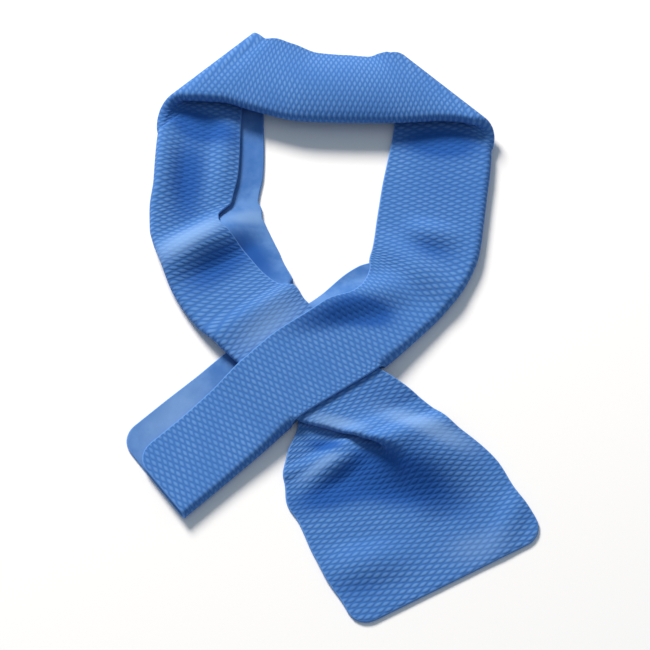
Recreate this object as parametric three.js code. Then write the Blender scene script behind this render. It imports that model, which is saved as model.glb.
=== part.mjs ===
// Cooling neck wrap: one strip of sponge cloth, folded lengthwise into a two-layer band and laid in a loop.
// The band runs up the leg, turns over twice at the top, comes back down and is pulled through a slit
// in the leg's own fold line. Past the slit the strip opens to its full width as a flat tail.
// Millimetres, +Z up, resting on z = 0, with +Y away from a viewer who stands at the tail.

import * as THREE from "three";

// Driving sizes.
const STRIP_WIDTH = 125;
const WALL = 1.8;
const REST_GAP = 0.4; // air left between two layers of cloth that touch in the real wrap
const FOLD_RADIUS = 3; // lengthwise fold, to the middle of the cloth
const FLIP_RADIUS_FOLD = 8; // turn of the outer layer at the two top corners, at the fold
const FLIP_RADIUS_EDGE = 4.6; // the same turn at the free edges
const CORNER_RADIUS = 12;
const SLIT_SHARE = 0.57; // slit length as a share of the strip width
const PLEAT_RADIUS = 1.1;
const LIP_PULL = 0.57; // how much of the fold's width is left in the upper lip of the slit
const LOWER_LIP_PULL = 0.3; // the same for the lower lip

const LAYER = WALL + REST_GAP; // from the middle of one layer to the middle of the next

// One row per place along the strip, from the leg's end to the tail's end.
// x, y: outer edge of the lengthwise fold, in strip widths.
// lift: lower layer above the surface, in layers. settle: share by which the section is let down onto it.
// toward: direction from the fold to the free edges.
// skew: angle from the direction of travel to the ruling. flip: how far the band has turned over.
// rise, fall: slope of the band at the fold and at the free edges. puff: fold radius over its usual size.
// close: angle by which the upper layer leans on the lower. upper: width of the upper layer, in strip widths.
// pleat: distance from the fold to the pleat's valley, in strip widths. open: angle of the fold.
// valley: angle of the pleat's valley. gather: share of the width that small puckers take up, and below 0
// where the cloth is stretched.
const COLUMNS = [
  "x", "y", "lift", "settle", "toward", "skew", "flip", "rise",
  "fall", "puff", "close", "upper", "pleat", "open", "valley", "gather",
];
const ROWS = [
  [-0.672, -1.069, 0, 0, 127.6, 90, 0, 0, 0, 1, 3.6, 0.43, 0.54, 180, 0, 0.04],
  [-0.499, -0.91, 0, 0, 127.6, 90, 0, 0, 0, 1, 3.6, 0.43, 0.54, 180, 0, 0.04],
  [-0.317, -0.742, 0, 0, 127.9, 90, 0, 0, 0, 1.2, 3, 0.435, 0.535, 180, 0, 0.035],
  [-0.133, -0.569, 0, 0, 128.6, 90, 0, 0, 0, 1.5, 0, 0.445, 0.525, 180, 0, 0.02],
  [0.069, -0.428, 0, 0, 128.6, 90, 0, 0, 0, 1.5, 0, 0.47, 0.5, 180, 0, 0],
  [0.273, -0.288, 0, 0, 128.6, 90, 0, 0, 0, 1.5, 0, 0.475, 0.495, 180, 0, 0],
  [0.446, -0.122, 0, 0, 136.3, 90, 0, 0, 0, 1.2, 2.5, 0.455, 0.515, 180, 0, 0],
  [0.608, 0.052, 0, 0, 148.3, 90, 0, 0, 0, 1, 3.6, 0.465, 0.505, 180, 0, 0],
  [0.706, 0.188, 0, 0, 160.3, 90, 0, 0, 0, 1, 3.6, 0.51, 0.46, 180, 0, 0],
  [0.785, 0.374, 0, 0, 174.1, 90, 0, 0, 0, 1, 3.6, 0.545, 0.425, 180, 0, 0],
  [0.816, 0.569, 0, 0, 177, 90, 0, 0, 0, 1, 3.6, 0.55, 0.42, 180, 0, 0],
  [0.838, 0.73, 0, 0, 174, 86, 0, 0, 0, 1, 3.6, 0.545, 0.425, 180, 0, 0],
  [0.858, 0.87, 0, 0, 157, 68, 0, 0, 0, 1, 3.6, 0.525, 0.445, 180, 0, 0.03],
  [0.868, 1, 0, 0, 131.5, 45, 0, 0, 0, 1, 3.4, 0.505, 0.465, 180, 0, 0.07],
  [0.785, 1.12, 0, 0, 133.5, 46, 180, 0, 0, 1, 3.4, 0.5, 0.47, 180, 0, 0.1],
  [0.58, 1.155, -0.5, 0, 124.5, 55.5, 180, -14, 12, 1, 3, 0.5, 0.47, 180, 0, 0.1],
  [0.37, 1.15, -0.7, 0, 109, 71, 180, -25, 30, 1, 3, 0.495, 0.475, 180, 0, 0.09],
  [0.13, 1.151, -0.7, 0, 93, 88, 180, -28, 34, 1, 3, 0.49, 0.48, 180, 0, 0.08],
  [-0.13, 1.161, -0.7, 0, 78, 102, 180, -26, 30, 1, 3, 0.49, 0.48, 180, 0, 0.08],
  [-0.376, 1.22, -0.6, 0, 64, 116, 180, -16, 14, 1, 3, 0.5, 0.47, 180, 0, 0.08],
  [-0.55, 1.27, -0.4, 0, 55, 125, 180, -8, 5, 1, 3.2, 0.505, 0.465, 180, 0, 0.06],
  [-0.725, 1.272, 0, 0, 46, 129, 180, 0, 0, 1, 3.4, 0.5, 0.47, 180, 0, 0.06],
  [-0.872, 1.1, 0, 0, 48, 137.5, 360, 0, 0, 1, 3.4, 0.46, 0.51, 180, 0, 0],
  [-0.88, 0.956, 0, 0, 22, 112, 360, 0, 0, 1, 3.6, 0.44, 0.53, 180, 0, 0],
  [-0.885, 0.804, 0, 0, 6, 97, 360, 0, 0, 1, 3.6, 0.435, 0.535, 180, 0, 0],
  [-0.901, 0.654, 0, 0, 5.3, 92, 360, 0, 0, 1, 3.6, 0.43, 0.54, 180, 0, 0.015],
  [-0.9, 0.605, 0, 0, 6.8, 93.5, 360, 0, 0, 1, 3.6, 0.4, 0.57, 180, 0, 0.04],
  [-0.898, 0.563, 0, 0, 7.8, 94.5, 360, 0, 0, 1, 3.6, 0.38, 0.59, 180, 0, 0.07],
  [-0.895, 0.52, 0, 0, 9, 96, 360, 0, 0, 1, 3.6, 0.38, 0.59, 180, 0, 0.07],
  [-0.883, 0.47, 0, 0, 10.8, 98, 360, 0, 0, 1, 3.6, 0.382, 0.588, 180, 0, 0.065],
  [-0.867, 0.416, 0, 0, 13, 100, 360, 0, 0, 1, 3.6, 0.395, 0.575, 180, 0, 0.045],
  [-0.825, 0.3, 0, 0, 16.5, 103, 360, 0, 0, 1, 3.6, 0.415, 0.555, 180, 0, 0.015],
  [-0.779, 0.183, 0, 0, 20.5, 106, 360, 0, 0, 1, 3.6, 0.43, 0.54, 180, 0, 0],
  [-0.637, -0.045, 1, 0, 31.9, 104, 360, 0, 0, 0.8, 2.4, 0.46, 0.51, 180, 0, 0],
  [-0.56, -0.122, 2.6, 0, 36, 98, 360, 0, 0, 0.5, 0.7, 0.5, 0.46, 180, 180, 0],
  [-0.478, -0.203, 2, 0, 38, 94, 360, 0, 0, 0.4, 0.1, 0.48, 0.425, 180, 180, 0],
  [-0.298, -0.38, 1.5, 0.5, 36, 90, 360, 0, 0, 0.4, 0, 0.48, 0.34, 180, 180, 0],
  [-0.127, -0.565, 1, 1, 35, 90, 360, 0, 0, 0.4, 0, 0.48, 0.26, 180, 180, 0],
  [0.02, -0.608, 0.7, 1, 31, 90, 360, 0, 0, 0.5, 3, 0.45, 0.16, 180, 180, 0],
  [0.18, -0.65, 0.3, 1, 28.4, 90, 360, 0, 0, 0.6, 5, 0.39, 0.095, 170, 170, 0],
  [0.352, -0.764, 0, 1, 28, 90, 360, 0, 0, 0.8, 6, 0.37, 0.08, 76, 76, 0],
  [0.508, -0.945, 0, 1, 28, 90, 360, 0, 0, 1, 2, 0.37, 0.12, 20, 20, -0.01],
  [0.577, -1.083, 0, 1, 28, 90, 360, 0, 0, 1, 0, 0.37, 0.15, 0, 0, -0.02],
  [0.65, -1.205, 0, 1, 28, 89.3, 360, 0, 0, 1, 0, 0.38, 0.2, 0, 0, -0.02],
  [0.718, -1.331, 0, 1, 27.6, 88.4, 360, 0, 0, 1, 0, 0.38, 0.2, 0, 0, -0.02],
];

// Soft waves that lift the cloth, both layers together. x, y: middle of the crest, in strip widths.
// along: direction of the crest. reach, spread: half its length and half its width, in strip widths.
// rise: height of the crest, in wall thicknesses. first, last: rows between which the wave lies.
const WAVE_COLUMNS = ["x", "y", "along", "reach", "spread", "rise", "first", "last"];
const WAVES = [
  [-0.6, 0.475, 33, 0.42, 0.17, 4.4, 22, 33],
  [0.467, 0.298, -47, 0.34, 0.12, 2.4, 4, 13],
  [0.28, -0.8, 10, 0.75, 0.17, 3.2, 37, 44],
  [0.9, -1.06, 65, 0.3, 0.1, 1, 37, 44],
];

const RAD = Math.PI / 180;

// Columns of the strip: how many faces lie in each part of its width.
const UPPER_CUTS = [0.25, 0.48, 0.67, 0.82, 0.92, 0.97, 1]; // from the fold to the free edge
const LOWER_CUTS = [0.25, 0.48, 0.67, 0.82, 0.92, 0.97, 1];
const FLAP_CUTS = [0.45, 0.75, 0.92, 1];
const VALLEY_CUTS = [0.34, 0.67, 1];
const FOLD_CUTS = [0.25, 0.5, 0.75, 1];
const FOLD_COLUMN = UPPER_CUTS.length + FOLD_CUTS.length / 2;
const ROOT_COLUMN = UPPER_CUTS.length + FOLD_CUTS.length;
const LAST_COLUMN = ROOT_COLUMN + LOWER_CUTS.length + VALLEY_CUTS.length + FLAP_CUTS.length;

const column = (row, name) => row[COLUMNS.indexOf(name)];

// Point of a row half way between the fold and the free edges.
function middleOf(row) {
  const toward = column(row, "toward") * RAD;
  const reach = STRIP_WIDTH / 4 / Math.sin(column(row, "skew") * RAD);
  const x = column(row, "x") * STRIP_WIDTH + reach * Math.cos(toward);
  const y = column(row, "y") * STRIP_WIDTH + reach * Math.sin(toward);
  return [x, y];
}

// Distance along the table: the way of the middle point, and half a turn at each flip.
const knots = [0];
for (let i = 1; i < ROWS.length; i++) {
  const [x0, y0] = middleOf(ROWS[i - 1]);
  const [x1, y1] = middleOf(ROWS[i]);
  const turned = (column(ROWS[i], "flip") - column(ROWS[i - 1], "flip")) * RAD;
  const bend = (turned * (FLIP_RADIUS_FOLD + FLIP_RADIUS_EDGE)) / 2;
  knots.push(knots[i - 1] + Math.max(Math.hypot(x1 - x0, y1 - y0), bend));
}

// Slopes of a cubic that never overshoots its rows.
function slopesOf(values) {
  const last = values.length - 1;
  const step = knots.slice(1).map((k, i) => k - knots[i]);
  const secant = step.map((h, i) => (values[i + 1] - values[i]) / h);
  const slopes = [secant[0]];
  for (let i = 1; i < last; i++) {
    const a = secant[i - 1];
    const b = secant[i];
    const wa = 2 * step[i] + step[i - 1];
    const wb = step[i] + 2 * step[i - 1];
    slopes.push(a * b <= 0 ? 0 : (wa + wb) / (wa / a + wb / b));
  }
  slopes.push(secant[last - 1]);
  return slopes;
}

const tracks = {};
for (const name of COLUMNS) {
  const values = ROWS.map((row) => column(row, name));
  tracks[name] = { values, slopes: slopesOf(values) };
}

// Every column of the table at one distance along it.
function rowAt(distance) {
  let i = 0;
  while (i < knots.length - 2 && distance > knots[i + 1]) i++;
  const h = knots[i + 1] - knots[i];
  const t = Math.min(Math.max((distance - knots[i]) / h, 0), 1);
  const row = {};
  for (const name of COLUMNS) {
    const { values, slopes } = tracks[name];
    const [a, b] = [values[i], values[i + 1]];
    if (name === "flip") {
      row[name] = a + (b - a) * t;
      continue;
    }
    const ease = t * t * (3 - 2 * t);
    const bulge = h * t * (1 - t) * ((1 - t) * slopes[i] - t * slopes[i + 1]);
    row[name] = a + (b - a) * ease + bulge;
  }
  return row;
}

// Piece of a section whose direction changes evenly from one angle to the next.
function arcStep(length, from, to) {
  const half = (to - from) / 2;
  const chord = Math.abs(half) < 1e-6 ? length : (length * Math.sin(half)) / half;
  return [chord * Math.cos((from + to) / 2), chord * Math.sin((from + to) / 2)];
}

// Section across the strip: for each column its place v across the cloth, and its place in the band's own
// frame, across from the fold (u) and up from the lower layer (h).
function sectionAt(row, slitOpening) {
  const fold = Math.PI * FOLD_RADIUS * row.puff;
  const valley = Math.PI * PLEAT_RADIUS;
  const foldTurn = (row.open + row.close) * RAD;
  const valleyTurn = row.valley * RAD;
  const start = (row.open - 180) * RAD;
  const foldAt = row.upper * STRIP_WIDTH;
  const valleyAt = foldAt + row.pleat * STRIP_WIDTH;
  const slope = (reach) => {
    const share = Math.min(Math.max(reach / (STRIP_WIDTH / 2), 0), 1);
    return (row.rise + (row.fall - row.rise) * share) * RAD;
  };
  const u = new Array(LAST_COLUMN + 1);
  const h = new Array(LAST_COLUMN + 1);
  const v = new Array(LAST_COLUMN + 1);
  const root = ROOT_COLUMN;
  v[root] = foldAt + fold / 2;
  u[root] = 0;
  h[root] = 0;

  // Lower layer: straight to the valley, through it, then the flap.
  const out = [
    [LOWER_CUTS, valleyAt - valley / 2, 0, 0],
    [VALLEY_CUTS, valleyAt + valley / 2, 0, valleyTurn],
    [FLAP_CUTS, STRIP_WIDTH, valleyTurn, valleyTurn],
  ];
  let at = root;
  for (const [cuts, end, turn0, turn1] of out) {
    const begin = v[at];
    const crowding = Math.min(Math.max((end - begin) / CORNER_RADIUS - 1, 0), 1);
    let last = 0;
    for (const [i, crowded] of cuts.entries()) {
      const even = (i + 1) / cuts.length;
      const cut = even + (crowded - even) * crowding;
      v[at + 1] = begin + (end - begin) * cut;
      const from = start + slope(v[at] - v[root]) - turn0 - (turn1 - turn0) * last;
      const to = start + slope(v[at + 1] - v[root]) - turn0 - (turn1 - turn0) * cut;
      const [du, dh] = arcStep((v[at + 1] - v[at]) * (1 - row.gather), from, to);
      u[at + 1] = u[at] + du;
      h[at + 1] = h[at] + dh;
      last = cut;
      at++;
    }
  }

  // Fold and upper layer, walked the other way.
  at = root;
  let before = 0;
  for (const cut of FOLD_CUTS) {
    const from = Math.PI + start + slope(0) - foldTurn * before;
    const to = Math.PI + start + slope(0) - foldTurn * cut;
    const [du, dh] = arcStep(fold * (cut - before), from, to);
    v[at - 1] = v[root] - fold * cut;
    u[at - 1] = u[at] + du;
    h[at - 1] = h[at] + dh;
    before = cut;
    at--;
  }
  const top = at;
  const turn = Math.PI + start - foldTurn;
  const between = FOLD_RADIUS * row.puff + LAYER / 2;
  const bow = (row.fall - row.rise) * RAD;
  const inner = 1 + (between * bow) / (STRIP_WIDTH / 2); // the inside of a bow is shorter
  for (const cut of UPPER_CUTS) {
    v[at - 1] = v[top] * (1 - cut);
    const from = turn + slope((v[top] - v[at]) * inner);
    const to = turn + slope((v[top] - v[at - 1]) * inner);
    const [du, dh] = arcStep((v[at] - v[at - 1]) * (1 - row.gather), from, to);
    u[at - 1] = u[at] + du;
    h[at - 1] = h[at] + dh;
    at--;
  }
  const shift = u[top];
  for (let j = 0; j <= LAST_COLUMN; j++) u[j] -= shift;

  // Where the slit is open the two halves of the fold lie straight, one lip on each side.
  const lips = { upper: [], lower: [] };
  for (let j = top; j <= root; j++) {
    const flatUpper = [u[top] - (v[j] - v[top]) * LIP_PULL, h[top]];
    const flatLower = [u[root] - (v[root] - v[j]) * LOWER_LIP_PULL, h[root]];
    const mix = (a, b) => a + (b - a) * slitOpening;
    lips.upper[j] = [mix(u[j], flatUpper[0]), mix(h[j], flatUpper[1])];
    lips.lower[j] = [mix(u[j], flatLower[0]), mix(h[j], flatLower[1])];
  }
  const lipUpper = lips.upper[FOLD_COLUMN];
  for (let j = top; j <= root; j++) [u[j], h[j]] = j <= FOLD_COLUMN ? lips.upper[j] : lips.lower[j];
  [u[FOLD_COLUMN], h[FOLD_COLUMN]] = lips.lower[FOLD_COLUMN];
  return { u, h, v, lipUpper };
}

// Place in space of a point (u, h) of the section.
function placed(row, u, h, drop) {
  const toward = row.toward * RAD;
  const skew = Math.sin(row.skew * RAD);
  const flip = row.flip * RAD;
  const inset = FOLD_RADIUS * row.puff + WALL / 2;
  const along = (u + inset) / skew;
  const share = Math.min(Math.max(u / (STRIP_WIDTH / 2), 0), 1);
  const bend = FLIP_RADIUS_FOLD + (FLIP_RADIUS_EDGE - FLIP_RADIUS_FOLD) * share;
  const side = (bend - h + drop) * Math.sin(flip);
  const x = row.x * STRIP_WIDTH + along * Math.cos(toward) + side * Math.sin(toward);
  const y = row.y * STRIP_WIDTH + along * Math.sin(toward) - side * Math.cos(toward);
  const z = WALL / 2 + row.lift * LAYER + bend * (1 - Math.cos(flip)) + (h - drop) * Math.cos(flip);
  return new THREE.Vector3(x, y, z);
}

const STRIP_END = knots[knots.length - 1];
const CORNER_FADE = 3 * CORNER_RADIUS; // stretch of strip over which a rounded corner is taken up
const SLIT_ROW = 4; // the row at the slit's middle
const ENTRY_ROW = 35; // the row where the strip goes under the leg
const SLIT_FROM = knots[SLIT_ROW] - (SLIT_SHARE * STRIP_WIDTH) / 2;
const SLIT_TO = knots[SLIT_ROW] + (SLIT_SHARE * STRIP_WIDTH) / 2;
const LIP_RAMP = 4; // the lips part fully this far from each end of the slit

// How far the slit's lips are apart at a place along the strip: 0 shut, 1 flat.
function openingAt(distance) {
  const inside = Math.min(distance - SLIT_FROM, SLIT_TO - distance);
  return inside <= 0 ? 0 : Math.sqrt(Math.min(inside / LIP_RAMP, 1));
}

// How much a rounded corner shortens the strip at a place v across it.
function cornerCut(v) {
  const edge = Math.max(Math.min(v, STRIP_WIDTH - v), 0);
  if (edge >= CORNER_RADIUS) return 0;
  return CORNER_RADIUS - Math.sqrt(CORNER_RADIUS ** 2 - (CORNER_RADIUS - edge) ** 2);
}

// Distance along the table for a station's vertex, with the corners taken off.
function cornered(distance, v) {
  const cut = cornerCut(v);
  const fromStart = Math.max(0, 1 - distance / CORNER_FADE);
  const fromEnd = Math.max(0, 1 - (STRIP_END - distance) / CORNER_FADE);
  return distance + cut * (fromStart - fromEnd);
}

// Height that the waves add at a point, for the stretch of strip that it belongs to.
function waveAt(x, y, distance) {
  let height = 0;
  for (const wave of WAVES) {
    const of = (name) => wave[WAVE_COLUMNS.indexOf(name)];
    if (distance < knots[of("first")] || distance > knots[of("last")]) continue;
    const dx = x / STRIP_WIDTH - of("x");
    const dy = y / STRIP_WIDTH - of("y");
    const cos = Math.cos(of("along") * RAD);
    const sin = Math.sin(of("along") * RAD);
    const a = Math.min(Math.abs(dx * cos + dy * sin) / of("reach"), 1);
    const b = Math.min(Math.abs(dy * cos - dx * sin) / of("spread"), 1);
    height += of("rise") * WALL * Math.cos((a * Math.PI) / 2) ** 2 * Math.cos((b * Math.PI) / 2) ** 2;
  }
  return height;
}

// Middle surface of the cloth at one station: a point for each column, and the upper lip of the slit.
function stationAt(distance) {
  const points = [];
  let lip = null;
  const plain = sectionAt(rowAt(distance), openingAt(distance));
  for (let j = 0; j <= LAST_COLUMN; j++) {
    const here = cornered(distance, plain.v[j]);
    const row = rowAt(here);
    const section = here === distance ? plain : sectionAt(row, openingAt(here));
    const drop = row.settle * Math.min(...section.h);
    const point = placed(row, section.u[j], section.h[j], drop);
    point.z += waveAt(point.x, point.y, here);
    points.push(point);
    if (j === FOLD_COLUMN) lip = placed(row, ...section.lipUpper, drop);
  }
  return { points, lip };
}

// Stations, close together where the cloth turns sharply.
const STATION_STEP = 12;
const FLIP_STEP = 18;
const CROSSING_STEP = 9;
const stations = [0];
let spent = 0;
const SAMPLE = 0.25;
for (let d = SAMPLE; d < STRIP_END; d += SAMPLE) {
  const [here, before] = [rowAt(d), rowAt(d - SAMPLE)];
  const turned = here.flip - before.flip + Math.abs(here.valley - before.valley) / 2;
  const crossing = Math.abs(d - knots[SLIT_ROW]) < STRIP_WIDTH / 2 || d > knots[ENTRY_ROW];
  spent += Math.max(SAMPLE / (crossing ? CROSSING_STEP : STATION_STEP), turned / FLIP_STEP);
  if (spent >= 1) {
    stations.push(d);
    spent -= 1;
  }
}
if (STRIP_END - stations[stations.length - 1] < STATION_STEP / 3) stations.pop();
stations.push(STRIP_END);
const slitMarks = [SLIT_FROM, SLIT_FROM + LIP_RAMP / 3, SLIT_FROM + LIP_RAMP];
slitMarks.push(SLIT_TO - LIP_RAMP, SLIT_TO - LIP_RAMP / 3, SLIT_TO);
const distances = stations.filter((d) => slitMarks.every((m) => Math.abs(m - d) > LIP_RAMP / 2));
distances.push(...slitMarks);
distances.sort((a, b) => a - b);

// Mesh of the middle surface: one grid of vertices, with the upper lip's vertices added beside it.
const vertices = [];
const grid = [];
const lipOf = new Map();
distances.forEach((d, k) => {
  const { points, lip } = stationAt(d);
  grid.push(points.map((p) => vertices.push(p) - 1));
  if (d > SLIT_FROM && d < SLIT_TO) lipOf.set(k, vertices.push(lip) - 1);
});
const faces = [];
for (let k = 0; k < grid.length - 1; k++) {
  for (let j = 0; j < LAST_COLUMN; j++) {
    const onLip = (kk, jj) => jj === FOLD_COLUMN && j < FOLD_COLUMN && lipOf.has(kk);
    const pick = (kk, jj) => (onLip(kk, jj) ? lipOf.get(kk) : grid[kk][jj]);
    const [a, b, c, d] = [pick(k, j), pick(k + 1, j), pick(k + 1, j + 1), pick(k, j + 1)];
    faces.push(a, b, c, a, c, d);
  }
}

// The solid: the middle surface moved half a wall each way, closed along every free edge.
function thickened() {
  const middle = new THREE.BufferGeometry();
  const places = vertices.flatMap((p) => [p.x, p.y, p.z]);
  middle.setAttribute("position", new THREE.Float32BufferAttribute(places, 3));
  middle.setIndex(faces);
  middle.computeVertexNormals();
  const normal = middle.getAttribute("normal");
  const count = vertices.length;
  const position = [];
  for (const side of [1, -1]) {
    vertices.forEach((p, i) => {
      const reach = (side * WALL) / 2;
      position.push(p.x + reach * normal.getX(i), p.y + reach * normal.getY(i), p.z + reach * normal.getZ(i));
    });
  }
  const index = [...faces];
  const edges = new Map();
  for (let i = 0; i < faces.length; i += 3) {
    const [a, b, c] = faces.slice(i, i + 3);
    index.push(count + a, count + c, count + b);
    for (const [p, q] of [[a, b], [b, c], [c, a]]) {
      if (edges.has(q + "," + p)) edges.delete(q + "," + p);
      else edges.set(p + "," + q, [p, q]);
    }
  }
  for (const [p, q] of edges.values()) index.push(q, p, count + p, q, count + p, count + q);
  const solid = new THREE.BufferGeometry();
  solid.setAttribute("position", new THREE.Float32BufferAttribute(position, 3));
  solid.setIndex(index);
  solid.computeBoundingBox();
  const { min, max } = solid.boundingBox;
  solid.translate(-(min.x + max.x) / 2, -(min.y + max.y) / 2, -min.z);
  solid.computeVertexNormals();
  return solid;
}

const cloth = new THREE.MeshStandardMaterial({ color: 0x3a6cb4, roughness: 0.85, metalness: 0 });
const wrap = new THREE.Mesh(thickened(), cloth);
wrap.name = "cooling_wrap";

const group = new THREE.Group();
group.name = "cooling_neck_wrap";
group.add(wrap);

export default group;
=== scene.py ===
"""Looks of the cooling neck wrap: one strip of sponge cloth, folded lengthwise, laid in a neck loop, pulled
through a slit near its own end and spread open as a tail, on a pale studio floor."""

import math

import bpy
import numpy as np
from bpy.props import FloatProperty, FloatVectorProperty, PointerProperty
from bpy.types import Operator, Panel, PropertyGroup
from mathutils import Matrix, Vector


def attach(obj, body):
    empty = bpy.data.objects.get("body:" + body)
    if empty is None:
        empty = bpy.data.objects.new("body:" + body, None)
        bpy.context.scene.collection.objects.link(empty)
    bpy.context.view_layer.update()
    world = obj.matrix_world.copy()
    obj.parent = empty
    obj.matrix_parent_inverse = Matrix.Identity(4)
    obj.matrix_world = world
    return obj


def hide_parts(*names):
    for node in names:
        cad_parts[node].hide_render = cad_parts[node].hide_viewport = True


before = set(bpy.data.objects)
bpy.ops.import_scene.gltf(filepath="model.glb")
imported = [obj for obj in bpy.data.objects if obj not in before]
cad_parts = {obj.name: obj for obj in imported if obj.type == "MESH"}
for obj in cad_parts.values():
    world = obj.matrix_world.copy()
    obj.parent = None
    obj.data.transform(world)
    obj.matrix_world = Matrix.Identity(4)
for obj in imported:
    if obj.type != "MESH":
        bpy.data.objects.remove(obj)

bl_info = {
    "name": "Cooling neck wrap",
    "version": (1, 0, 0),
    "blender": (4, 2, 0),
    "location": "View3D > Sidebar > Neck wrap",
    "description": "Lays a folded strip of sponge cloth in a loop and pulls it through its own slit",
    "category": "Object",
}

BODY = "root"
CAD_NODE = "cooling_wrap"
CLOTH_PIECE = "neck_wrap_cloth"

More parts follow.
